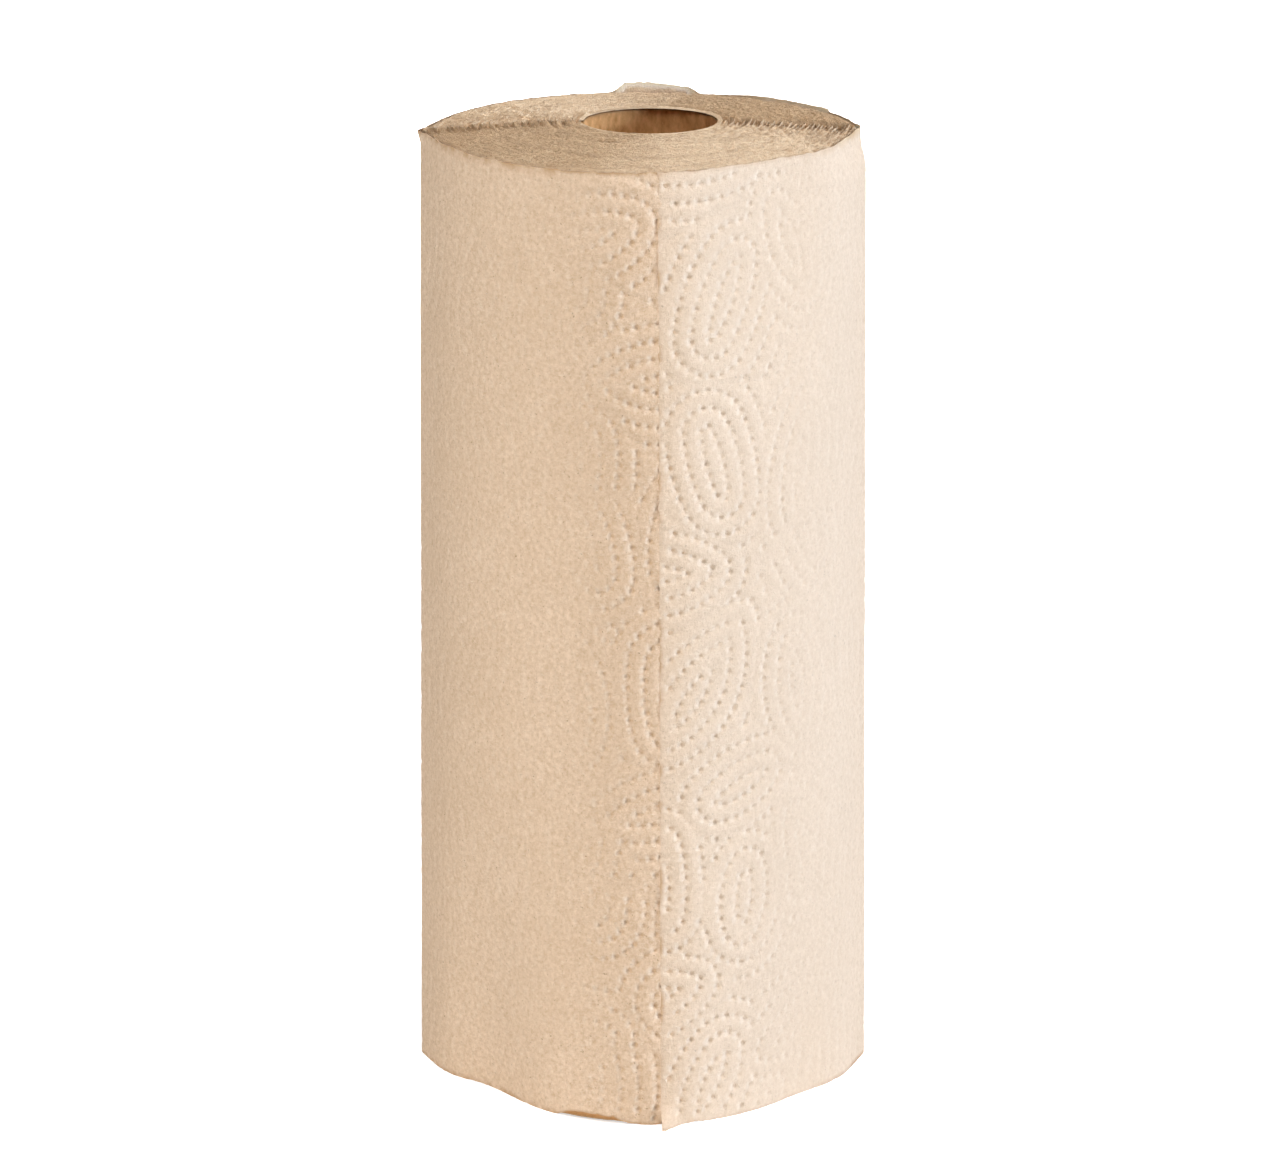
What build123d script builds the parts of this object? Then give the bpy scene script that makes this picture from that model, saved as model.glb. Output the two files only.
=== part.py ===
from build123d import *
import os
from math import asin, atan, cos, sin, sqrt

# Paper towel roll: one long web of kraft paper wound on a cardboard tube, standing on its end.
# The roll was pressed in its pack, so each turn keeps a crease at the left (-X) and at the right (+X).
# Millimetres, +Z up. The origin is on the tube's axis, in the plane that the roll stands on. -Y is the front.

# Whole roll
roll_height = 279.4
roll_width = 129.4
roll_depth = 110.0

# Cardboard tube
core_bore = 38.1
core_wall = 0.8

# Telescoping: how far the tube has slid up through the winding, so that it stands proud at the top
core_rise = 3.1

# Wound web. Each turn here is as thick as a bundle of three or four turns of the real, thinner sheet.
turns = 20
core_clearance = 0.1
turn_gap = 0.4

# Creases: length of the straight run on either side of a crease, at the tube and outermost
crease_run_at_core = 1.0
crease_run_outside = 15.0

# Lopsided winding: how far the outermost turns lie to the left of the tube's axis
winding_shift = 2.3

# Tail: the free end of the web, one sheet thick, which lies on the front a little right of the axis
tail_edge = 0.5
tail_x = 2.7

# Torn lip: a strip of the outer sheet at the back that stands up past the sawn end
lip_left = -11.3
lip_right = 14.2
lip_height = 3.1
lip_slant = 5.0
lip_thickness = 0.5
lip_inset = 0.1

core_radius = core_bore / 2 + core_wall
first_turn_inside = core_radius + core_clearance
half_turns = 2 * turns
face_pitch = (roll_depth - 2 * first_turn_inside + turn_gap - tail_edge) / half_turns
web_thickness = face_pitch - turn_gap
first_turn_outside = first_turn_inside + web_thickness
crease_pitch = (roll_width - 2 * first_turn_outside) / (half_turns - 1.5)


def crease_reach(count):
    """Distance of a crease from the axis on the web's outer side, after so many half turns."""
    return first_turn_outside + crease_pitch * count / 2


def apex_reach(count):
    """Distance of a turn's middle, front or back, from the axis on the web's outer side."""
    return first_turn_outside + face_pitch * count / 2


def crease_angle(count):
    """Angle between a turn and the line of the creases, from the straight run beside its crease."""
    grown = count / half_turns
    run = crease_run_at_core + (crease_run_outside - crease_run_at_core) * grown
    return 2 * atan(apex_reach(count) / (crease_reach(count) + run))


def crease_point(count, inset):
    """Tip of a crease on the web's outer side, or moved in square to the web by inset. Even counts are on the left."""
    reach = crease_reach(count) - inset / sin(crease_angle(count))
    shift = winding_shift * count / half_turns
    return ((-reach if count % 2 == 0 else reach) - shift, 0.0)


class Bow:
    """One half turn between two creases: a straight run, a round stretch and a straight run, all tangent."""

    def __init__(self, count, inset, apex_drop=0.0):
        self.start = crease_point(count, inset)
        self.end = crease_point(count + 1, inset)
        self.side = 1 if count % 2 == 0 else -1
        angle = crease_angle(count + 0.5)
        half_width = abs(self.end[0] - self.start[0]) / 2
        apex = apex_reach(count + 0.5) - inset - apex_drop
        self.radius = (half_width * sin(angle) - apex * cos(angle)) / (1 - cos(angle))
        self.middle = (self.start[0] + self.end[0]) / 2
        self.rise = apex - self.radius
        self.reach = self.radius * sin(angle)

    def at(self, x):
        """Point of the round stretch at a given x."""
        return (x, self.side * (self.rise + sqrt(self.radius**2 - (x - self.middle) ** 2)))

    def edges(self, stop=None):
        """Edges in winding order, as far as the far crease or as x = stop on the round stretch."""
        first = self.at(self.middle - self.side * self.reach)
        last = self.at(self.middle + self.side * self.reach) if stop is None else self.at(stop)
        run = [Line(self.start, first), ThreePointArc(first, self.at((first[0] + last[0]) / 2), last)]
        if stop is None:
            run.append(Line(last, self.end))
        return run


def web_side(inset, tail_drop):
    """One side of the wound web, from its start on the tube to the tail."""
    last = half_turns - 1
    edges = [edge for count in range(last) for edge in Bow(count, inset).edges()]
    return edges + Bow(last, inset, tail_drop).edges(stop=tail_x)


def make_core():
    """Spiral-wound cardboard tube, as long as the web is wide, and slid up through the winding."""
    tube = Cylinder(core_radius, roll_height, align=(Align.CENTER, Align.CENTER, Align.MIN))
    bore = Cylinder(core_bore / 2, roll_height, align=(Align.CENTER, Align.CENTER, Align.MIN))
    return Pos(0, 0, core_rise) * (tube - bore)


def make_lip():
    """Strip of the outermost back turn above the sawn end, with a slanted tear at its left."""
    back = Bow(half_turns - 2, lip_inset)
    inner_radius = back.radius - lip_thickness
    angles = [asin((x - back.middle) / back.radius) for x in (lip_left, (lip_left + lip_right) / 2, lip_right)]

    def points(radius):
        return [(back.middle + radius * sin(a), back.rise + radius * cos(a)) for a in angles]

    outer, inner = points(back.radius), points(inner_radius)
    outline = [ThreePointArc(*outer), Line(outer[2], inner[2]), ThreePointArc(*inner[::-1]), Line(inner[0], outer[0])]
    strip = extrude(make_face(outline), lip_height)
    tear = Polygon((lip_left, 0), (lip_right, 0), (lip_right - lip_slant / 2, lip_height), (lip_left + lip_slant, lip_height), align=None)
    keep = extrude(Plane.XZ * tear, roll_depth, both=True)
    return Pos(0, 0, roll_height) * (strip & keep)


def make_web():
    """The whole web as one solid: its section is a band between two spirals, closed at the start and the tail."""
    outside = web_side(0.0, web_thickness - tail_edge)
    inside = web_side(web_thickness, 0.0)
    start = Line(outside[0] @ 0, inside[0] @ 0)
    tail = Line(outside[-1] @ 1, inside[-1] @ 1)
    web = extrude(make_face(outside + [tail] + inside[::-1] + [start]), roll_height)
    return web + make_lip()


os.makedirs("parts", exist_ok=True)
export_step(make_core(), "parts/cardboard_core.step")
export_step(make_web(), "parts/paper_web.step")
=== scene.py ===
import bpy
import numpy as np
from mathutils.geometry import delaunay_2d_cdt
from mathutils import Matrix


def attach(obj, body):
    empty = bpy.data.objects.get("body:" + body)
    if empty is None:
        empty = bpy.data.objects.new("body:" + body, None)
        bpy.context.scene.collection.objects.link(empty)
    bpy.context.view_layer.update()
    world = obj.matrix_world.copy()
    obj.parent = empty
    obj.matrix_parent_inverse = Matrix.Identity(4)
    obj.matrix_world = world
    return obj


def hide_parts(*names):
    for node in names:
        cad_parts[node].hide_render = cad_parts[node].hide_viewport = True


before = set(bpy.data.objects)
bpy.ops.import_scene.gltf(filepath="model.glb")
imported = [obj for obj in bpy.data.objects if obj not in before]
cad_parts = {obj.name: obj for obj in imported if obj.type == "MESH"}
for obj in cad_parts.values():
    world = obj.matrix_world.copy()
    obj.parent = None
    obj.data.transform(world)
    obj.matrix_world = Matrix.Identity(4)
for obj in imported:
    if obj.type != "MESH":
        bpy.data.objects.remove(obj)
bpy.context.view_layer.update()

# The paper towel roll, dressed in the order in which it is made: the tube, the wound web and its outermost two sheets.
# The studio comes last. Shapes are worked out in millimetres in the CAD's own frame, and go into the meshes in metres.

# Cardboard tube: brown board strip wound in a steep helix over a mandrel, glued, and cut to the length of the web. The
# edges of the inner strip meet in a fine helical joint inside. The tube has slid up through the winding by 3 mm, and is
# pressed a little oval with the roll.

bore_radius = 19.05
tube_wall = 0.8
tube_length = 278.6
tube_rise = 3.1
# Depth of the tube from front to back as a share of its width
tube_oval = 0.92
# Helical joint: height of one turn, depth, and where it starts as a share of a turn
joint_lead = 118.0
joint_depth = 0.12
joint_start = 0.46
# Cut ends: how rough they are, and how far that and their painted shade reach into the wall
cut_roughness = 0.14
cut_band = 0.5


def steps(seed, x, spacing):
    """Even random values every spacing along x, joined by smooth steps. They lie between -1 and 1."""
    values = np.random.default_rng(seed).uniform(-1, 1, 4096)
    cell = np.floor(x / spacing).astype(int)
    part = x / spacing - cell
    blend = part * part * (3 - 2 * part)
    return values[cell % 4096] * (1 - blend) + values[(cell + 1) % 4096] * blend


def drop_between(x, low, high):
    """1 below low, 0 above high, and a smooth step down between them."""
    t = np.clip((x - low) / (high - low), 0, 1)
    return 1 - t * t * (3 - 2 * t)


def piece(name, points, face_groups, material, sharp=60, **values):
    """Object from points in mm and arrays of three or four corners a face. Each further value is a number at every
    point, which the material reads by its name."""
    mesh = bpy.data.meshes.new(name)
    mesh.vertices.add(len(points))
    mesh.vertices.foreach_set("co", (points * 0.001).astype(np.float32).ravel())
    counts = np.concatenate([np.full(len(group), group.shape[1]) for group in face_groups])
    mesh.loops.add(int(counts.sum()))
    mesh.loops.foreach_set("vertex_index", np.concatenate([group.ravel() for group in face_groups]).astype(np.int32))
    mesh.polygons.add(len(counts))
    mesh.polygons.foreach_set("loop_start", np.concatenate([[0], np.cumsum(counts)[:-1]]).astype(np.int32))
    mesh.update(calc_edges=True)
    mesh.validate()
    mesh.polygons.foreach_set("use_smooth", np.ones(len(mesh.polygons), bool))
    mesh.set_sharp_from_angle(angle=np.radians(sharp))
    for key, value in values.items():
        mesh.attributes.new(key, "FLOAT", "POINT").data.foreach_set("value", value.astype(np.float32))
    mesh.materials.append(material)
    made = bpy.data.objects.new(name, mesh)
    bpy.context.scene.collection.objects.link(made)
    return made


class Nodes:
    """A node tree. Each call adds a node, sets its sockets by name or number, and returns one of its outputs."""

    def __init__(self, tree):
        self.tree = tree

    def add(self, kind, sockets=(), out=0, **settings):
        node = self.tree.nodes.new("ShaderNode" + kind)
        for key, value in settings.items():
            setattr(node, key, value)
        for key, value in dict(sockets).items():
            self.join(value, node.inputs[key])
        return node.outputs[out]

    def join(self, value, socket):
        if isinstance(value, bpy.types.NodeSocket):
            self.tree.links.new(value, socket)
        else:
            socket.default_value = value

    def ramp(self, value, low, high, to_low=0.0, to_high=1.0):
        return self.add("MapRange", {0: value, 1: low, 2: high, 3: to_low, 4: to_high})

    def maths(self, how, *terms):
        return self.add("Math", dict(enumerate(terms)), operation=how)


class Shader(Nodes):
    """The nodes of a material, with the patterns that the pieces of the roll need."""

    def __init__(self, name):
        self.material = bpy.data.materials.new(name)
        self.material.use_nodes = True
        super().__init__(self.material.node_tree)
        self.place = self.add("TexCoord", out="Object")

    def finish(self, name, value):
        """Sets or links a socket of the surface itself."""
        self.join(value, self.tree.nodes["Principled BSDF"].inputs[name])

    def scaled(self, x, y, z):
        """Object coordinates, stretched so that one unit is 1/x, 1/y and 1/z millimetres."""
        return self.add("Mapping", {"Vector": self.place, "Scale": (1000 * x, 1000 * y, 1000 * z)})

    def noise(self, where, scale=1.0, detail=3.0, roughness=0.6):
        return self.add("TexNoise", {"Vector": where, "Scale": scale, "Detail": detail, "Roughness": roughness})

    def value(self, name):
        return self.add("Attribute", out="Fac", attribute_name=name)

    def mix(self, share, first, second):
        return self.add("Mix", {0: share, 6: first, 7: second}, out=2, data_type="RGBA")

    def bump(self, height, strength, distance):
        return self.add("Bump", {"Height": height, "Strength": strength, "Distance": distance})


board = Shader("core_board")
board_grain = board.noise(board.scaled(0.42, 0.42, 0.22), detail=5.0)
board_fibres = board.noise(board.scaled(1.5, 1.5, 0.7), detail=4.0, roughness=0.7)
board_tone = board.mix(board.ramp(board_grain, 0.35, 0.68), (0.54, 0.275, 0.09, 1), (0.9, 0.53, 0.235, 1))
board_tone = board.mix(board.ramp(board_fibres, 0.56, 0.75, 0, 0.5), board_tone, (0.88, 0.57, 0.27, 1))
# Painted shade: the cut ends are darkened to dark brown, as shade falls on them under the paper's rim.
board_tone = board.mix(board.ramp(board.value("cut"), 0.0, 1.0, 0, 0.75), board_tone, (0.4, 0.24, 0.12, 1))
board_tone = board.mix(board.ramp(board.value("joint"), 0.0, 1.0, 0, 0.45), board_tone, (0.2, 0.1, 0.04, 1))
board.finish("Base Color", board_tone)
board.finish("Roughness", 0.78)
board.finish("Specular IOR Level", 0.3)
board.finish("Normal", board.bump(board_fibres, 0.5, 0.00008))


def make_tube():
    """A ring-shaped profile swept round the axis. Its columns follow the helix, so that the joint lies along one of
    them: angle = column angle + height / lead turns. The end faces are a little rough."""
    columns, rows, end_row = 160, 72, 0.6
    outer, middle = bore_radius + tube_wall, bore_radius + tube_wall / 2
    up = np.concatenate([[0], np.linspace(end_row, tube_length - end_row, rows), [tube_length]])
    height = np.concatenate([up, [tube_length], up[::-1], [0]])
    radius = np.concatenate([np.full(len(up), outer), [middle], np.full(len(up), bore_radius), [middle]])
    inside = np.concatenate([np.zeros(len(up) + 1), np.ones(len(up)), [0]])
    column = np.arange(columns)[:, None]
    angle = 2 * np.pi * (joint_start + column / columns + height / joint_lead)
    groove = np.where(column == 0, inside, 0.0)
    reach = radius + joint_depth * groove
    # The cut band roughens the ends and sets where their painted shade lies.
    cut = np.broadcast_to(drop_between(np.minimum(height, tube_length - height), 0.0, cut_band), angle.shape)
    ragged = cut_roughness * steps(3, angle * 9 + 40 * radius, 1.0) * cut
    points = np.stack([reach * np.cos(angle), tube_oval * reach * np.sin(angle), tube_rise + height + ragged], -1)
    ring = len(height)
    a = (column * ring + np.arange(ring)).ravel()
    b = (column * ring + (np.arange(ring) + 1) % ring).ravel()
    around = columns * ring
    faces = np.stack([a, (a + ring) % around, (b + ring) % around, b], -1)
    return piece("core_tube", points.reshape(-1, 3), [faces], board.material, cut=cut.ravel(), joint=groove.ravel())


tube = make_tube()
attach(tube, "root")
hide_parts("cardboard_core")

# Wound web: about 75 turns of two-ply kraft tissue. The roll was pressed flat in its pack, so each turn has a crease at
# the left and at the right. Its ends are sawn, which leaves them rough, with the plies split apart at the creases. The
# turns have slid up a little round the tube, so that the top is slightly domed and the underside slightly hollow.

roll_height = 279.4
roll_width = 129.4
roll_depth = 110.0
first_radius = 19.95
half_turns = 150
dome_height = 3.0
# Length of the straight run on either side of a crease, at the tube and outermost
crease_run_at_core = 1.0
crease_run_outside = 15.0
# How far the outermost turns lie to the left of the tube's axis, and where the tail ends on the front
winding_shift = 2.3
tail_x = 2.7
# From one turn to the next, on the faces and at the creases
face_pitch = (roll_depth - 2 * first_radius) / (half_turns + 1)
crease_pitch = (roll_width - 2 * first_radius) / (half_turns + 0.5)
# Bulges and dents of the soft front at half height, at the top and at the foot: middle x, width, and how far forward
front_middle = ((0, 40, 3.0),)
front_top = ((-18, 32, 4.0), (36, 17, -4.0))
front_foot = ((3, 29, 6.0), (-49, 14, -10.0), (43, 9, -3.0), (60, 7, 5.0))
# How much fuller the roll is at the foot, the ridge over the tail, and how far the forms of the top and the foot reach
foot_fullness = 0.017
tail_ridge = 0.8
form_reach = 110
# How far the right corner of the top is pushed in, back and up
corner_in, corner_back, corner_up = 2.0, 1.5, 0.7
# Saw cut at the top: its level at the outermost turn, and how much of its relief the foot has
sawn_level = roll_height - 0.15
foot_relief = 0.8
# The inmost ply over the tube's upper end: its lean all round, its further lean at the back, and its underside's height
rim_lean = 1.0
rim_lean_back = 1.0
rim_under = 281.95
# How far up the walls of the winding their sawn foot reaches. Up to half as high again, the walls are darkened to
# orange brown as painted shade under the raised foot of the sheet.
wall_foot = 2.6


class HalfTurns:
    """Half turns by their counts: straight run, arc and straight run between two creases, all tangent. The arc's radius
    is (half width sin a - apex cos a) / (1 - cos a), where a is the angle at the creases."""

    def __init__(self, count):
        count = np.asarray(count)
        self.side = np.where(count % 2 == 0, 1.0, -1.0)
        apex = first_radius + face_pitch * (count + 2.5) / 2
        grown = np.clip((count + 0.5) / half_turns, 0, 1)
        run = crease_run_at_core + (crease_run_outside - crease_run_at_core) * grown
        start, end = self.crease(count), self.crease(count + 1)
        half_width = np.abs(end - start) / 2
        middle_reach = first_radius + crease_pitch * (count + 2.5) / 2
        self.angle = 2 * np.arctan(apex / (middle_reach + run))
        self.radius = (half_width * np.sin(self.angle) - apex * np.cos(self.angle)) / (1 - np.cos(self.angle))
        self.middle = (start + end) / 2
        self.rise = apex - self.radius
        self.straight = (half_width - self.radius * np.sin(self.angle)) / np.cos(self.angle)
        self.length = 2 * self.straight + 2 * self.radius * self.angle

    @staticmethod
    def crease(count):
        reach = first_radius + crease_pitch * (count + 2) / 2
        return np.where(count % 2 == 0, -reach, reach) - winding_shift * np.clip(count / half_turns, 0, 1)

    def at(self, share):
        """Place (x, y) and outward direction after a share of the half turn's length."""
        along = (share - 0.5) * self.length
        turned = np.clip(along / self.radius, -self.angle, self.angle)
        beyond = np.maximum(np.abs(along) - self.radius * self.angle, 0) * np.sign(along)
        x = self.radius * np.sin(turned) + beyond * np.cos(self.angle)
        y = self.rise + self.radius * np.cos(turned) - np.abs(beyond) * np.sin(self.angle)
        place = np.stack([self.middle + self.side * x, self.side * y], -1)
        return place, np.stack([self.side * np.sin(turned), self.side * np.cos(turned)], -1)


def dome(grown):
    """How far a turn has slid up: most near the tube, a little more against it, and nothing outermost."""
    return dome_height * (1 - np.clip(grown, 0, 1) ** 1.6) + 0.2 * drop_between(grown, 0, 0.04)


def hump(x, middle, width):
    """Bell curve of height 1."""
    return np.exp(-(((x - middle) / width) ** 2))


def humps(x, table):
    """Sum of bell curves, each given by its middle, width and height."""
    return sum(height * hump(x, middle, width) for middle, width, height in table)


def settle(points):
    """The soft roll's own form: a little fuller at the foot than at the top, with a faint ridge where the tail lies.
    The front bulges, more so at the foot, and is pressed flat at the left of the foot and at the right of the top. The
    right corner of the top is pushed in and blunt. Next to the tube the turns are oval like it."""
    x, y, z = points.T
    outward = np.clip((np.hypot(x, y) - 20) / 40, 0, 1)
    fuller = 1 + foot_fullness * outward * (1 - 2 * z / roll_height)
    top, foot = drop_between(roll_height - z, 0, form_reach), drop_between(z, 0, form_reach)
    forward = humps(x, front_middle) * (1 - top) * (1 - foot)
    forward = forward + top * humps(x, front_top)
    forward = forward + foot * humps(x, front_foot)
    forward = forward + tail_ridge * np.exp(-np.abs(x - tail_x) / 13)
    corner = drop_between(roll_height - z, 0, 13) ** 1.4 * np.clip((x - 46) / 16, 0, 1)
    back = 3.0 * top * hump(x, 62, 7) * np.clip(y / 8, 0, 1)
    blunt = 1.6 * top * np.clip((x - 40) / 16, 0, 1) * np.clip(-y / 8, 0, 1)
    oval = 1 - (1 - tube_oval) * (1 - outward)
    moved_y = y * fuller * oval - forward * outward * np.clip(-y / 40, 0, 1) + back - blunt + corner_back * corner
    return np.column_stack([x * fuller - corner_in * corner, moved_y, z + corner_up * corner])


def clumps(seed, x, y, spacing):
    """Even random values on a square net over x and y, joined by smooth steps. They lie between -1 and 1."""
    values = np.random.default_rng(seed).uniform(-1, 1, (256, 256))
    i, k = np.floor(x / spacing).astype(int), np.floor(y / spacing).astype(int)
    u, v = x / spacing - i, y / spacing - k
    u, v = u * u * (3 - 2 * u), v * v * (3 - 2 * v)
    low = values[i % 256, k % 256] * (1 - u) + values[(i + 1) % 256, k % 256] * u
    high = values[i % 256, (k + 1) % 256] * (1 - u) + values[(i + 1) % 256, (k + 1) % 256] * u
    return low * (1 - v) + high * v


class Kraft(Shader):
    """Unbleached two-ply tissue: pale kraft brown, mottled, with short fibres, dark and light specks and fine crepe."""

    def __init__(self, name, light, dark, crepe):
        super().__init__(name)
        cloud = self.noise(self.scaled(0.03, 0.03, 0.03), detail=2.0)
        mottle = self.noise(self.scaled(0.8, 0.8, 0.8), detail=4.0, roughness=0.7)
        strands = self.noise(self.scaled(0.9, 0.9, 2.6), detail=3.0, roughness=0.65)
        upright = self.noise(self.scaled(2.4, 2.4, 0.7), detail=3.0, roughness=0.65)
        fleck = self.noise(self.scaled(1.1, 1.1, 1.1), detail=1.0)
        tone = self.mix(self.ramp(mottle, 0.32, 0.68), dark, light)
        tone = self.mix(self.ramp(cloud, 0.35, 0.7, 0, 0.3), tone, dark)
        tone = self.mix(self.ramp(strands, 0.56, 0.74, 0, 0.4), tone, (0.93, 0.84, 0.71, 1))
        tone = self.mix(self.ramp(upright, 0.58, 0.74, 0, 0.34), tone, (0.42, 0.26, 0.12, 1))
        self.tone = self.mix(self.ramp(fleck, 0.7, 0.8, 0, 0.6), tone, (0.3, 0.18, 0.09, 1))
        height = self.maths("ADD", self.maths("MULTIPLY", mottle, 0.8), self.maths("ADD", strands, upright))
        self.finish("Roughness", 0.93)
        self.finish("Specular IOR Level", 0.15)
        self.finish("Normal", self.bump(height, 1.0, crepe))

    def tint(self, name, strength, tone):
        """Mixes in another tone where a value of the piece is high."""
        self.tone = self.mix(self.ramp(self.value(name), 0, 1, 0, strength), self.tone, tone)
        self.finish("Base Color", self.tone)


sawn = Kraft("kraft_sawn_end", (0.945, 0.788, 0.57, 1), (0.785, 0.583, 0.37, 1), 0.0004)
# Painted shade: the furrows, torn gaps and creases of the sawn ends are darkened by the furrow value.
sawn.tint("furrow", 0.62, (0.34, 0.165, 0.048, 1))
# Painted shade: the foot band of the walls is darkened to orange brown, where the raised foot of the sheet shades it.
sawn.tint("ply", 0.85, (0.6, 0.29, 0.1, 1))


def make_wound_web():
    """The spiral strip of plies seen on the sawn ends, as one closed solid. Station p of the winding and station p +
    one turn bound a ply. Each ply has a ridge in its middle and a furrow on either side, deep and torn open at a
    crease. The inmost ply leans in over the cut end of the tube. The stations crowd together at the creases."""
    half = 140
    turn = 2 * half
    last = turn * (half_turns // 2 - 2) + half + 58
    p = np.arange(last + turn + 1)
    inmost, outmost = p < turn, p > last
    even = (p % half) / half
    share = even - 0.55 * np.sin(2 * np.pi * even) / (2 * np.pi)
    turns = HalfTurns(p // half - 2)
    line, _ = turns.at(share)
    along = np.concatenate([[0], np.cumsum(np.linalg.norm(np.diff(line, axis=0), axis=1))])
    grown = p / (half_turns * half)
    leftward, rightward = np.clip(-line[:, 0] / 40, 0, 1), np.clip(line[:, 0] / 40, 0, 1)
    at_left, at_right = np.clip(-line[:, 0] - 52, 0, 12) / 12, np.clip(line[:, 0] - 44, 0, 12) / 12

    # Bundles of plies hold together at a crease, and gaps are torn open between them.
    nearest = np.minimum(share, 1 - share) * turns.length
    crease = (p + half // 2) // half
    is_left = crease % 2 == 0
    bundle = crease / 2 + 500 * (crease % 2)
    period = np.where(is_left, 1.5, 2.4)
    gap = np.clip(0.15 + np.cos(2 * np.pi * (bundle + 0.9 * steps(10, bundle, 2.9)) / period), 0, 1)
    reach = (4.0 + 1.4 * steps(19, crease, 3.0)) * np.where(is_left, 1.2, 1 + 0.25 * at_right)
    torn = np.exp(-((nearest / reach) ** 2)) * drop_between(-grown, -0.02, 0.0)
    notch = torn * gap * (2.0 + 0.9 * steps(11, crease, 1.0)) * np.where(is_left, 0.75, 1 + 0.2 * at_right)
    crest = torn * (1 - gap) * (0.25 + 0.35 * steps(17, crease, 1.0))

    # The saw leaves ridges and furrows of uneven height.
    ridge_place = (line[: last + 1] + line[turn:]) / 2
    ridge_push = (0.1 * steps(12, along, 3.1) + 0.1 * steps(13, along, 0.9))[: last + 1, None]
    ridge_place = ridge_place + ridge_push * (line[turn:] - line[: last + 1])
    rough = 0.15 * clumps(14, line[:, 0], line[:, 1], 2.1) + 0.13 * clumps(15, line[:, 0], line[:, 1], 0.9)
    loose = rough + 0.1 * steps(16, along, 9.0) + 0.16 * steps(22, along, 1.3)
    ridge = (dome(grown + 1 / half_turns) + loose + crest - 0.85 * notch)[: last + 1]
    furrow = dome(grown) + rough - 0.4 - 0.22 * np.abs(steps(18, along, 2.7)) - 1.5 * notch
    furrow = np.where(inmost, dome(grown) - 0.25, np.where(outmost, dome(grown) - 0.8, furrow))

    top = np.concatenate([np.column_stack([line, sawn_level + furrow]),
                          np.column_stack([ridge_place, sawn_level + ridge])])
    upright = top[:, :2].copy()
    lean = rim_lean + rim_lean_back * np.clip(line[: turn + 1, 1] / first_radius, 0, 1) ** 2
    top[: turn + 1, :2] *= (1 - lean / first_radius * drop_between(p[: turn + 1] / turn, 0.9, 1.0))[:, None]
    rise = np.concatenate([dome(grown), dome(grown + 1 / half_turns)[: last + 1]])
    foot = np.column_stack([upright, top[:, 2]])
    foot[:, 2] = np.maximum(0.05 + rise - (top[:, 2] - roll_height - rise) * foot_relief - 0.1, 0.02)
    size = len(top)

    j = np.arange(last)
    inner, middle, outer = j, len(p) + j, j + turn
    up = [np.stack([inner, middle, middle + 1, inner + 1], -1), np.stack([middle, outer, outer + 1, middle + 1], -1)]
    down = [group[:, ::-1] + size for group in up]

    # Walls from the top down to the foot: the bore, which starts under the leaning ply, and the shell under the sheets.
    bore = np.concatenate([np.arange(turn + 1), [len(p)]])
    shell = np.concatenate([np.arange(last, last + turn + 1), [len(p) + last]])
    levels, walls, points = 16, [], [top, foot]
    for loop, flip, shrink, under in ((bore, 1, 1.0, rim_under), (shell, -1, 0.991, 0.0)):
        sunk = np.append(np.arange(0 if under else 1, levels) / levels, 1 - wall_foot / roll_height)[:, None, None]
        high = np.column_stack([upright[loop], np.full(len(loop), under) if under else top[loop, 2]])
        between = high * (1 - sunk) + foot[loop] * sunk
        between[:-1, :, :2] *= shrink
        between[-1, :, :2] *= 1 - (1 - shrink) / 6
        number = sum(len(group) for group in points) + np.arange(len(sunk) * len(loop)).reshape(len(sunk), -1)
        points.append(between.reshape(-1, 3))
        rows = np.concatenate([loop[None], number, loop[None] + size])
        after = np.roll(rows, -1, axis=1)
        walls.append(np.stack([rows[:-1], after[:-1], after[1:], rows[1:]], -1).reshape(-1, 4)[:, ::flip])
    points = np.concatenate(points)

    # Painted shade: the furrows are darkened, the more so where they are torn open, in bands at the creases and in a
    # ring near the outside. Their tone also changes in streaks along the plies, which is the paper's own.
    around = (p % turn) / turn
    streak = 0.29 * clumps(25, p / (2.4 * turn), 28 * around, 1.0)
    streak = streak + 0.2 * clumps(26, p / (1.2 * turn), 64 * around, 1.0)
    worn = 0.12 + streak + 0.1 * steps(20, along, 4.0) + 0.5 * notch + 0.2 * torn + 0.3 * hump(grown, 0.965, 0.025)
    # Painted shade in bands along the creases, and painted light towards the left to offset the key light at the right.
    worn = worn + (0.35 * at_right + 0.3 * at_left) * np.exp(-((nearest / 7) ** 2)) - 0.16 * leftward
    # Darker towards the front right.
    worn = worn + 0.1 * rightward * np.clip(-line[:, 1] / 10, 0, 1)
    # The inmost ply is lighter; the outermost furrow is darkened as painted shade of the gap behind the sheets.
    worn = np.where(inmost, 0.1 + 0.5 * streak, np.where(outmost, 0.75 + 0.25 * steps(24, along, 3.0), worn))
    # Ridge tips: lighter towards the left as painted light, darkened at torn gaps as painted shade, and streaked.
    tips = 0.02 - 0.16 * leftward + streak + 0.2 * clumps(23, line[:, 0], line[:, 1], 1.6) + 0.4 * notch + 0.12 * torn
    shade = np.clip(np.concatenate([worn, tips[: last + 1]]), 0, 1)
    shade = np.concatenate([shade, shade, np.zeros(len(points) - 2 * size)])
    # Painted shade on the walls' lowest band, which shows under the raised foot of the sheet.
    on_wall = np.arange(len(points)) >= size
    on_wall[size: 2 * size] = False
    on_wall[shell + size] = True
    ply = np.where(on_wall & (points[:, 2] < 1.5 * wall_foot), 1.0, 0.0)
    return piece("wound_web", settle(points), up + down + walls, sawn.material, sharp=75, furrow=shade, ply=ply)


wound = make_wound_web()
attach(wound, "root")
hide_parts("paper_web")

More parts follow.
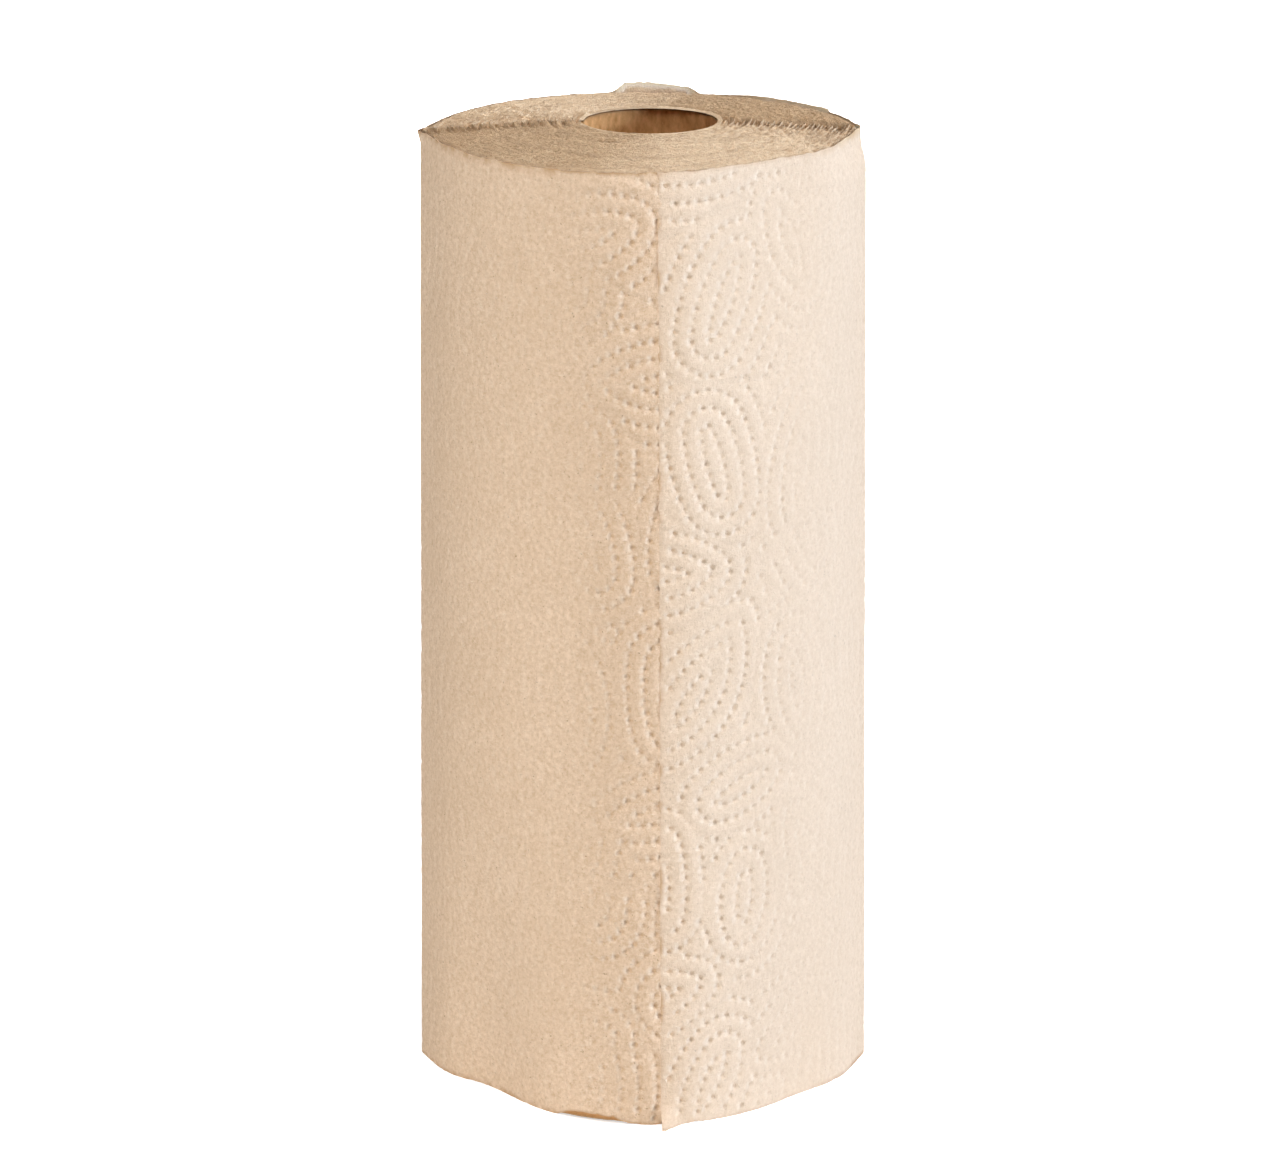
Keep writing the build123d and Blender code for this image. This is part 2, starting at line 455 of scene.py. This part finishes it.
# Outermost two sheets of the web, at the size of the real ply. The first runs from the free tail on the front round the
# right crease and the back to a perforation, and the second from there round the left crease and under the tail. Steel
# rollers have embossed them with rows of dots in nested leaves, and the paper stands up softly between the rows.

# From the tail to the perforation, and how far the second sheet goes on under the tail
sheet_length = 229.0
under_tail = 10.0
# Emboss: dots along a row, row from row, and the least distance between dots of different rows
dot_pitch = 3.2
row_pitch = 5.0
dot_gap = 2.5
dot_radius = 1.2
dot_depth = 0.62
pillow_height = 0.38
ply_thickness = 0.3
# Spacing of the points on a sheet: on its rim, in its face where the emboss shows and elsewhere, and on its inner side
rim_step = 1.1
fine_step = 1.12
coarse_step = 2.0
inner_step = 4.2
# Where the torn lip begins and ends at the back, how high it stands, and how far it leans back for its height
lip_from, lip_to = -11.3, 14.2
lip_height = 3.1
lip_lean = 0.5
# Slits of the perforating blade up the sheet's height
blade_pitch = 7.4
# Where the tail's edge stands a little open: height, width and how far
tail_open = ((256, 11, 1.0), (184, 9, 0.9), (160, 7, 0.8), (122, 5, 0.5), (70, 6, 0.7))
# How far the tail is pressed in at its edge, and how far its corner at the foot curls out
tail_press = 0.33
corner_curl = 4.0

kraft = Kraft("kraft_tissue", (0.84, 0.655, 0.487, 1), (0.645, 0.465, 0.303, 1), 0.0002)
# Dot cores darkened, partly as the denser pressed paper and partly as painted shade, most on the side away from the
# tail.
kraft.tint("pressed", 0.38, (0.46, 0.23, 0.055, 1))
# Painted light: the front right by the tail is lightened and whitened, as the key light falls there.
kraft.tint("loose", 0.4, (0.85, 0.775, 0.665, 1))
# Painted highlight on the brink and flank of each dot towards the tail.
kraft.tint("stretched", 0.52, (0.95, 0.86, 0.74, 1))
# Cut edges browner, partly their own tone and partly painted shade; tail-edge dashes and inner face are painted shade.
kraft.tint("edge", 0.9, (0.5, 0.3, 0.15, 1))
# Painted light: the lip is lightened and warmed as a glow of light through it, besides the subsurface below.
kraft.tint("thin", 0.95, (1.0, 0.8, 0.51, 1))
kraft.finish("Subsurface Weight", kraft.ramp(kraft.value("thin"), 0, 1, 0, 0.6))
kraft.finish("Subsurface Radius", (1.0, 0.9, 0.8))
kraft.finish("Subsurface Scale", 0.002)

# Leaves of the emboss: place along the sheet from the tail, height, lean in degrees, half length of the leaf, and how
# far out its rings stay pointed. The plate repeats along the sheet.
leaves = np.array([
    (11.5, 283.0, 86, 10, 1.0), (19.0, 242.0, 20, 11.3, 1.5), (15.8, 195.5, -15, 9.9, 1.0), (-2.0, 164.0, 90, 16, 6.0),
    (9.5, 127.0, 33, 29.7, 15.0), (44.0, 126.0, -8, 12, 3.0), (-0.1, 73.5, -3, 10, 1.0), (25.0, 66.0, 5, 9, 2.0),
    (15.0, 12.0, 24, 9, 1.5), (-4.0, 38.0, 72, 14, 5.0), (41.0, 255.0, -25, 12, 3.0), (46.0, 190.0, 12, 12, 2.0),
    (24.0, 99.0, 64, 8, 1.5), (48.0, 75.0, -20, 12, 3.0), (44.0, 22.0, 70, 12, 4.0), (-24.0, 205.0, 70, 12, 4.0),
    (-22.0, 250.0, 10, 12, 2.0), (-25.0, 120.0, -20, 12, 2.0), (-24.0, 20.0, 20, 10, 1.5),
])
plate_width = 74.0


def centres_apart(length, pointed):
    """How far the centres of a leaf's two arcs lie to the sides, from its half length and half width."""
    return (length**2 - pointed**2) / (2 * pointed)


def ring_value(point, leaf):
    """Distance from a leaf's middle line out to its ring through a point. The rings are pairs of arcs with shared
    centres, pointed as far as the leaf's own outline. Farther out they stay parallel to it, so they are round at its
    tips."""
    s, z, lean, length, pointed = leaf
    lean = np.radians(lean)
    ds, dz = point[:, 0] - s, point[:, 1] - z
    across = np.abs(ds * np.cos(lean) - dz * np.sin(lean))
    along = np.abs(ds * np.sin(lean) + dz * np.cos(lean))
    apart = centres_apart(length, pointed)
    past_tip = along * apart > length * (across + apart)
    return np.where(past_tip, np.hypot(across, along - length) + pointed, np.hypot(across + apart, along) - apart)


def ring_line(value, length, pointed):
    """Closed line of points along a ring: an arc at the right, the round tip, an arc at the left and the other tip."""
    apart = centres_apart(length, pointed)
    end = np.arccos(apart / (apart + min(value, pointed)))
    angle = np.linspace(-end, end, 60)
    right = np.stack([(apart + value) * np.cos(angle) - apart, (apart + value) * np.sin(angle)], -1)
    line = [right]
    if value > pointed:
        tip = np.linspace(end, np.pi - end, 60)[1:-1]
        line.append(np.stack([(value - pointed) * np.cos(tip), length + (value - pointed) * np.sin(tip)], -1))
    half = np.concatenate(line)
    return np.concatenate([half, -half, half[:1]])


def leaves_near(s_from, s_to):
    """The plate of leaves, repeated along the sheet, with every second plate a little higher."""
    plates = []
    for k in range(int(s_from // plate_width) - 1, int(s_to // plate_width) + 2):
        moved = leaves + np.array([k * plate_width, 0, 0, 0, 0])
        if k % 2:
            moved[:, 1] = (moved[:, 1] + 55.0) % 300.0
        plates.append(moved)
    near = np.concatenate(plates)
    return near[(near[:, 0] > s_from - 30) & (near[:, 0] < s_to + 30)]


def dots_of(field, s_from, s_to):
    """Dots at even steps along each leaf's rings, kept where no other leaf's ring value is lower."""
    dots = []
    for k, (s, z, lean, length, pointed) in enumerate(field):
        others = np.delete(field, k, axis=0)
        others = others[np.hypot(others[:, 0] - s, others[:, 1] - z) < 100]
        lean = np.radians(lean)
        for value in np.arange(0.5, 8.0) * row_pitch:
            line = ring_line(value, length, pointed)
            far = np.concatenate([[0], np.cumsum(np.linalg.norm(np.diff(line, axis=0), axis=1))])
            count = int(round(far[-1] / dot_pitch))
            at = (np.arange(count) + 0.5) / count * far[-1]
            across, along = np.interp(at, far, line[:, 0]), np.interp(at, far, line[:, 1])
            spot = np.stack([s + across * np.cos(lean) + along * np.sin(lean),
                             z - across * np.sin(lean) + along * np.cos(lean)], -1)
            margin = 0.7 + dot_radius
            inside = (np.abs(spot[:, 0] - (s_from + s_to) / 2) < (s_to - s_from) / 2 - margin)
            spot = spot[inside & (np.abs(spot[:, 1] - roll_height / 2) < roll_height / 2 - margin)]
            for other in others:
                spot = spot[ring_value(spot, other) > value + 0.6]
            dots.append(spot)
    dots = np.concatenate(dots)
    gaps = np.hypot(dots[:, None, 0] - dots[:, 0], dots[:, None, 1] - dots[:, 1])
    return dots[~np.tril(gaps < dot_gap, -1).any(axis=1)]


def pressure(s):
    """How strongly the emboss still shows at a length s from the tail: fully on the front by the tail, faintly where
    the pack has pressed the roll flat towards its creases, and moderately on the back."""
    from_seam = np.where(s > whole_turn / 2, s - whole_turn, s)
    near = drop_between(-from_seam, 9, 27) * drop_between(from_seam, 24, 52)
    return 0.27 + 0.73 * near + 0.25 * hump(s, 175, 45)


def pillow(point, field):
    """Soft swelling between the rows of dots: |cos| of the ring value of the nearest leaf, level where leaves meet."""
    value = np.stack([ring_value(point, leaf) for leaf in field])
    value.sort(axis=0)
    return np.abs(np.cos(np.pi * value[0] / row_pitch)) ** 0.8 * np.clip((value[1] - value[0]) / 2.0, 0, 1)


outer_turns = HalfTurns(np.arange(half_turns - 5, half_turns + 1))
turn_starts = np.concatenate([[0], np.cumsum(outer_turns.length)])


def front_share(count, x):
    """Share of a front half turn at which it passes a given x."""
    turn = HalfTurns(count)
    return 0.5 - np.arcsin((x - turn.middle) / turn.radius) * turn.radius / turn.length


tail_along = turn_starts[4] + front_share(half_turns - 1, tail_x) * outer_turns.length[4]
whole_turn = tail_along - turn_starts[2] - front_share(half_turns - 3, tail_x) * outer_turns.length[2]
right_crease = tail_along - turn_starts[4]
left_crease = tail_along - turn_starts[3]


def outer_line(s):
    """Place and outward direction of the outermost turns at a length s back from the tail. A mean over 3 mm of length
    rounds the creases."""
    places, ways = 0, 0
    for shift in np.linspace(-1.5, 1.5, 7):
        d = tail_along - s + shift
        k = np.clip(np.searchsorted(turn_starts, d, side="right") - 1, 0, len(outer_turns.length) - 1)
        local = HalfTurns(k + half_turns - 5)
        place, way = local.at((d - turn_starts[k]) / local.length)
        places, ways = places + place / 7, ways + way / 7
    return places, ways / np.linalg.norm(ways, axis=-1, keepdims=True)


def back_x(x):
    """Length s at which the back of the outermost turn passes a given x."""
    back = HalfTurns(half_turns - 2)
    share = 0.5 + np.arcsin((x - back.middle) / back.radius) * back.radius / back.length
    return tail_along - (turn_starts[3] + share * back.length)


def torn_lip(s):
    """Height of the torn strip above the sawn end: a slanted tear at its left as seen from the front, and a feathered
    top that falls towards its right. A low edge of the outer ply stands up farther to the right."""
    left, right = back_x(lip_from), back_x(lip_to)
    body = np.clip((left - s) / 4.2, 0, 1) * np.clip((s - right) / 3.4, 0, 1) ** 0.7
    body = body * (lip_height - 1.5 * (left - s) / (left - right) + 0.22 * steps(21, s, 2.6) + 0.16 * steps(22, s, 0.9))
    low = 0.7 * np.clip((s - back_x(53.0)) / 0.6, 0, 1) * np.clip((back_x(20.0) - s) / 12, 0, 1)
    return np.maximum(body, low)


def sheet_shape(s, z, kind):
    """Point on a sheet's middle at length s and height z: rough ends, the torn lip, the lifted and curled tail, flared
    ends of the creases and the perforation's nicks move it in its own surface and along its outward direction. Kind is
    0 for the sheet with the tail and 1 for the sheet under it."""
    down = roll_height - z
    rough = 0.22 * steps(31 + kind, s, 1.9) + 0.16 * steps(33 + kind, s, 0.8)
    rough = rough * (1 - 0.6 * drop_between(np.abs(s - back_x(0.0)), 70, 100))
    up = z + drop_between(down, 0.0, 9.0) * torn_lip(s)
    up = up + drop_between(down, 0, 1.4) * rough - drop_between(z, 0, 1.4) * np.minimum(rough, 0)
    out = 0.2 + 0.1 * steps(35 + kind, s, 31.0) * steps(37, z, 47.0)
    if kind == 0:
        along = s - drop_between(s, 0, 30) * (z / roll_height - 0.5 + 0.1 * steps(41, z, 17.0))
        nub = np.where(np.mod(z + 2.0, blade_pitch) < 0.8, -0.3, 0.0) + 0.07 * steps(42, z, 0.8)
        along = along + drop_between(s, 0.0, 0.9) * nub
        lift = np.clip(0.3 * humps(z, tail_open) + 0.07 * steps(43, z, 6.0), 0, 1)
        out = out - tail_press * drop_between(s, 0.0, 9.0) + lift * drop_between(s, 0.0, 5.0) ** 2
        out = out + corner_curl * drop_between(np.hypot(s / 9.5, z / 9.0), 0.0, 1.0) ** 1.9
        out = out + 0.5 * hump(s, right_crease, 3.0) * drop_between(down, 0, 5.0) ** 1.5
        out = out + lip_lean * np.maximum(up - roll_height, 0)
        inward = -1
    else:
        along = s
        out = out + 1.0 * hump(s, left_crease, 3.0) * drop_between(down, 0, 5.0) ** 1.5
        out = out - 0.25 * drop_between(whole_turn - s, -1.0, 3.0)
        short = 1.7 * drop_between(np.abs(whole_turn - s - 19.0), 5.0, 12.0) * drop_between(z, 0.0, 6.0)
        up = up + short * (1 + 0.3 * steps(45, s, 1.6))
        out = out + 0.2 * short
        inward = 1
    cut = np.where(np.mod(z + 3.0, blade_pitch) < 1.0, 0.0, 0.16)
    return along + inward * drop_between(np.abs(s - sheet_length), 0.0, 1.0) * cut, up, out


def rim_points(s_from, s_to, step):
    """Points round a flat sheet in turn: along the foot, up the far end, back along the top and down the near end."""
    length = np.linspace(s_from, s_to, int((s_to - s_from) / step) + 1)
    height = np.linspace(0, roll_height, int(roll_height / step) + 1)
    return np.concatenate([
        np.stack([length, 0 * length], -1)[:-1],
        np.stack([s_to + 0 * height, height], -1)[:-1],
        np.stack([length[::-1], roll_height + 0 * length], -1)[:-1],
        np.stack([s_from + 0 * height, height[::-1]], -1)[:-1],
    ])


def net_points(step, low, high, s_from, s_to):
    """Triangular net of points from one length to another, kept away from the rim of the sheet."""
    rows, columns = int(roll_height / (step * 0.866)), int((high - low) / step) + 1
    row, column = np.meshgrid(np.arange(1, rows), np.arange(columns), indexing="ij")
    net = np.stack([low + (column + 0.5 * (row % 2)) * step, row * step * 0.866], -1).reshape(-1, 2)
    keep = (net[:, 0] > s_from + 0.6 * step) & (net[:, 0] < s_to - 0.6 * step) & (net[:, 0] < high)
    return net[keep & (net[:, 1] < roll_height - 0.5 * step)]


def clear_of_dots(net, dots, clear, s_from, s_to):
    """The points of a net that aren't near a dot: each dot marks a disc of cells in a fine raster over the sheet."""
    cell, border = 0.25, 8
    reach = int(clear / cell)
    i, k = np.mgrid[-reach:reach + 1, -reach:reach + 1]
    disc = np.column_stack([i.ravel(), k.ravel()])[(i * i + k * k <= reach * reach).ravel()]
    marked = np.round((dots - [s_from, 0]) / cell).astype(int)[:, None] + border + disc
    taken = np.zeros((int((s_to - s_from) / cell) + 3 * border, int(roll_height / cell) + 3 * border), bool)
    taken[marked[..., 0], marked[..., 1]] = True
    where = np.round((net - [s_from, 0]) / cell).astype(int) + border
    return net[~taken[where[:, 0], where[:, 1]]]


def triangles(points):
    """Triangles between flat points, as nearly even as they can be."""
    return np.array(delaunay_2d_cdt(points.tolist(), [], [], 0, 1e-6, False)[2])


def facing_out(points, faces):
    """Turns triangles so that they face away from the axis."""
    a, b, c = (points[faces[:, k]] for k in range(3))
    away = np.einsum("ij,ij->i", np.cross(b - a, c - a)[:, :2], (a + b + c)[:, :2])
    return np.where((away < 0)[:, None], faces[:, ::-1], faces)


def make_sheet(name, kind, s_from, s_to):
    """A closed thin solid: an outer face with every dot in it, an inner face on a coarser net with the same rim, and
    the rim's own narrow wall. A dot is a dent of 13 points: its middle, six on its flank and six on its brink. The net
    between the dots is finer where the emboss shows."""
    rim = rim_points(s_from, s_to, rim_step)
    field = leaves_near(s_from, s_to)
    dots = dots_of(field, s_from, s_to)
    flank_angle = 2 * np.pi * (np.arange(6) / 6)
    brink_angle = flank_angle + 0.52
    flanks = dots[:, None] + 0.5 * dot_radius * np.stack([np.cos(flank_angle), np.sin(flank_angle)], -1)
    brinks = dots[:, None] + dot_radius * np.stack([np.cos(brink_angle), np.sin(brink_angle)], -1)
    fine_from, fine_to = (s_from, 48.0) if kind == 0 else (whole_turn - 30.0, s_to)
    stretches = ((fine_step, fine_from, fine_to, 1.5),
                 (coarse_step, s_from, fine_from, 1.75), (coarse_step, fine_to, s_to, 1.75))
    nets = [clear_of_dots(net_points(step, low, high, s_from, s_to), dots, clear, s_from, s_to)
            for step, low, high, clear in stretches]
    flat = np.concatenate([rim, dots, flanks.reshape(-1, 2), brinks.reshape(-1, 2)] + nets)
    inner_flat = np.concatenate([rim, net_points(inner_step, s_from, s_to, s_from, s_to)])
    both_s = np.concatenate([flat[:, 0], inner_flat[:, 0]])

    # Depth of each dot, with a raised brink on its side towards the tail. That brink and flank are lightened as a
    # painted highlight of the light from the right.
    count, first = len(dots), len(rim)
    middle, flank, brink = (slice(first + a * count, first + b * count) for a, b in ((0, 1), (1, 7), (7, 13)))
    strength = 0.74 - 0.04 * kind + 0.3 * np.random.default_rng(51 + kind).uniform(-1, 1, count)
    strength = strength * pressure(dots[:, 0])
    towards_tail, burr = -np.cos(flank_angle), np.clip(-np.cos(brink_angle), 0, 1)
    sink, pressed, stretched = np.zeros(len(flat)), np.zeros(len(both_s)), np.zeros(len(both_s))
    sink[middle] = strength
    sink[flank] = np.outer(strength, 0.5 - 0.1 * towards_tail).ravel()
    sink[brink] = np.outer(strength, -0.2 * burr).ravel()
    pressed[: len(flat)] = sink
    # Painted shade: the flank away from the tail is darker, as it faces away from the light at the right.
    pressed[flank] *= np.tile(0.55 - 0.5 * towards_tail, count)
    stretched[flank] = np.outer(strength, 0.55 * np.clip(towards_tail, 0, 1)).ravel()
    stretched[brink] = np.outer(strength, burr).ravel()

    def lay(flat, height):
        along, up, out = sheet_shape(flat[:, 0], flat[:, 1], kind)
        place, way = outer_line(along)
        return settle(np.column_stack([place + way * (out + height)[:, None], up]))

    inset = np.minimum.reduce([flat[:, 0] - s_from, s_to - flat[:, 0], flat[:, 1], roll_height - flat[:, 1]])
    swell = pillow(flat, field) * (1 - drop_between(inset, 0.0, 2.5)) * pressure(flat[:, 0])
    outer = lay(flat, pillow_height * swell - dot_depth * sink)
    inner = lay(inner_flat, np.full(len(inner_flat), -ply_thickness))
    outer_faces = facing_out(outer, triangles(flat))
    inner_faces = facing_out(inner, triangles(inner_flat))[:, ::-1] + len(flat)
    ring = np.arange(len(rim))
    after = np.roll(ring, -1)
    wall = np.stack([after, ring, ring + len(flat), after + len(flat)], -1)

    # The cut edges are browner in strokes, partly their own tone and partly painted shade, less so on the lit front
    # right; the tail's edge is darkened in dashes and the inner face a little, as painted shade. The front right by the
    # tail is lightened as painted light from the key at the right. The lip lets light through, and is lightened and
    # warmed as a painted glow.
    at_end = np.minimum(flat[:, 1], roll_height - flat[:, 1]) < 0.01
    broken = np.clip(0.75 + 0.6 * steps(47 + kind, flat[:, 0], 2.3), 0, 1)
    # Weaker on the front right, where the key light falls.
    broken = broken * (1 - 0.6 * drop_between(flat[:, 0], 60, 80))
    # Painted shade in dashes along the upright edges, where the tail's edge stands open over a dark gap.
    dashes = 0.2 + 0.7 * np.clip(1.6 * steps(49 + kind, flat[:, 1], 5.3) - 0.2, 0, 1)
    edge = np.where(at_end, broken, np.where(inset < 0.01, dashes, 0.0))
    # The inner face is a little darker, as painted shade.
    edge = np.concatenate([edge, np.full(len(inner_flat), 0.15)])
    # Painted light on the front right, fading round the right crease, a little weaker right by the tail.
    loose = drop_between(both_s, 60, 150) * (1 - 0.35 * drop_between(both_s, 2, 16))
    height = np.concatenate([outer[:, 2], inner[:, 2]])
    # How far a point stands above the sawn end, in the lip: it sets the lip's painted glow and its subsurface.
    thin = np.clip((height - roll_height - 0.2) / 1.2, 0, 1)
    return piece(name, np.concatenate([outer, inner]), [outer_faces, inner_faces, wall], kraft.material,
                 pressed=pressed, stretched=stretched, edge=edge, loose=loose, thin=thin)


first_sheet = make_sheet("sheet_with_tail", 0, 0.0, sheet_length)
second_sheet = make_sheet("sheet_under_tail", 1, sheet_length, whole_turn + under_tail)
for made in (first_sheet, second_sheet):
    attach(made, "root")

# Studio: a pale, matt floor, a cool key light from the right, low soft lights at the front left and at the back, and a
# warm light overhead. The floor and the world are white to the camera and in reflections alone.

lamp_aim = 0.14
half_floor = 30.0


class Backdrop(Nodes):
    """The nodes of the world or the floor."""

    def seen(self):
        """1 for a ray that shows the backdrop: from the camera, through something clear or off something glossy."""
        camera, clear, glossy = (
            self.add("LightPath", out=ray) for ray in ("Is Camera Ray", "Is Transmission Ray", "Is Glossy Ray"))
        return self.maths("MAXIMUM", self.maths("MAXIMUM", camera, clear), glossy)

    def end(self, unused, output, surface):
        """Links the surface to the output, and takes out the node that Blender put there."""
        self.join(surface, self.tree.nodes[output].inputs["Surface"])
        self.tree.nodes.remove(self.tree.nodes[unused])


world = bpy.data.worlds.new("studio")
bpy.context.scene.world = world
world.use_nodes = True
sky = Backdrop(world.node_tree)
sky_fill = sky.add("Background", {"Color": (1.0, 0.96, 0.92, 1), "Strength": 0.04})
sky_white = sky.add("Background", {"Color": (1, 1, 1, 1), "Strength": 1.0})
sky.end("Background", "World Output", sky.add("MixShader", {0: sky.seen(), 1: sky_fill, 2: sky_white}))

floor_look = bpy.data.materials.new("studio_floor")
floor_look.use_nodes = True
ground = Backdrop(floor_look.node_tree)
from_roll = ground.add("VectorMath", {0: ground.add("TexCoord", out="Object")}, out="Value", operation="LENGTH")
glow_level = ground.maths("MULTIPLY", ground.seen(), ground.ramp(from_roll, 0.2, 1.2, 0.6, 1.0))
glow = ground.add("Emission", {"Color": (1, 1, 1, 1), "Strength": glow_level})
matt = ground.add("BsdfDiffuse", {"Color": (0.9, 0.9, 0.9, 1)})
ground.end("Principled BSDF", "Material Output", ground.add("AddShader", {0: matt, 1: glow}))

floor_mesh = bpy.data.meshes.new("floor")
floor_corners = [(half_floor * x, half_floor * y, 0) for x, y in ((-1, -1), (1, -1), (1, 1), (-1, 1))]
floor_mesh.from_pydata(floor_corners, [], [(0, 1, 2, 3)])
floor_mesh.materials.append(floor_look)
floor = bpy.data.objects.new("floor", floor_mesh)
bpy.context.scene.collection.objects.link(floor)


def lamp(name, azimuth, elevation, distance, width, height, power, colour):
    """Area light that looks at the middle of the roll. Azimuth is from the front towards the right."""
    light = bpy.data.lights.new(name, "AREA")
    light.shape = "RECTANGLE"
    light.size, light.size_y = width, height
    light.energy = power
    light.color = colour
    made = bpy.data.objects.new(name, light)
    bpy.context.scene.collection.objects.link(made)
    a, b = np.radians([azimuth, elevation])
    away, up = distance * np.cos(b), distance * np.sin(b)
    made.location = (away * np.sin(a), -away * np.cos(a), lamp_aim + up)
    made.rotation_euler = (np.pi / 2 - b, 0, a)


lamp("key", 80, 15, 2.2, 0.45, 0.45, 34.5, (0.9, 0.99, 1.14))
lamp("low_front", -37, 0, 1.5, 1.4, 0.27, 11.0, (0.99, 1.0, 0.99))
lamp("low_back", 180, 0, 1.5, 1.2, 0.27, 9.0, (1.0, 1.0, 1.0))
lamp("overhead", 0, 76, 2.5, 1.0, 1.0, 48.0, (1.0, 0.93, 0.9))

# Camera as fitted to the photograph: distance in metres, angle above the horizontal, and focal length and the image of
# the roll's middle in pixels of the frame
camera_distance = 1.84
camera_height = np.radians(16.31)
focal_pixels = 6318.0
frame_width, frame_height = 1284, 1160
axis_pixel = (650.6, 600.3)
sensor_width = 36.0

lens = bpy.data.cameras.new("camera")
lens.sensor_width = sensor_width
lens.lens = focal_pixels * sensor_width / frame_width
camera = bpy.data.objects.new("camera", lens)
bpy.context.scene.collection.objects.link(camera)
camera_back, camera_up = camera_distance * np.cos(camera_height), camera_distance * np.sin(camera_height)
camera.location = (0, -camera_back, 0.5e-3 * roll_height + camera_up)
tilt = np.pi / 2 - camera_height + (axis_pixel[1] - frame_height / 2) / focal_pixels
camera.rotation_euler = (tilt, 0, (axis_pixel[0] - frame_width / 2) / focal_pixels)
bpy.context.scene.camera = camera
bpy.context.scene.view_settings.view_transform = "Standard"
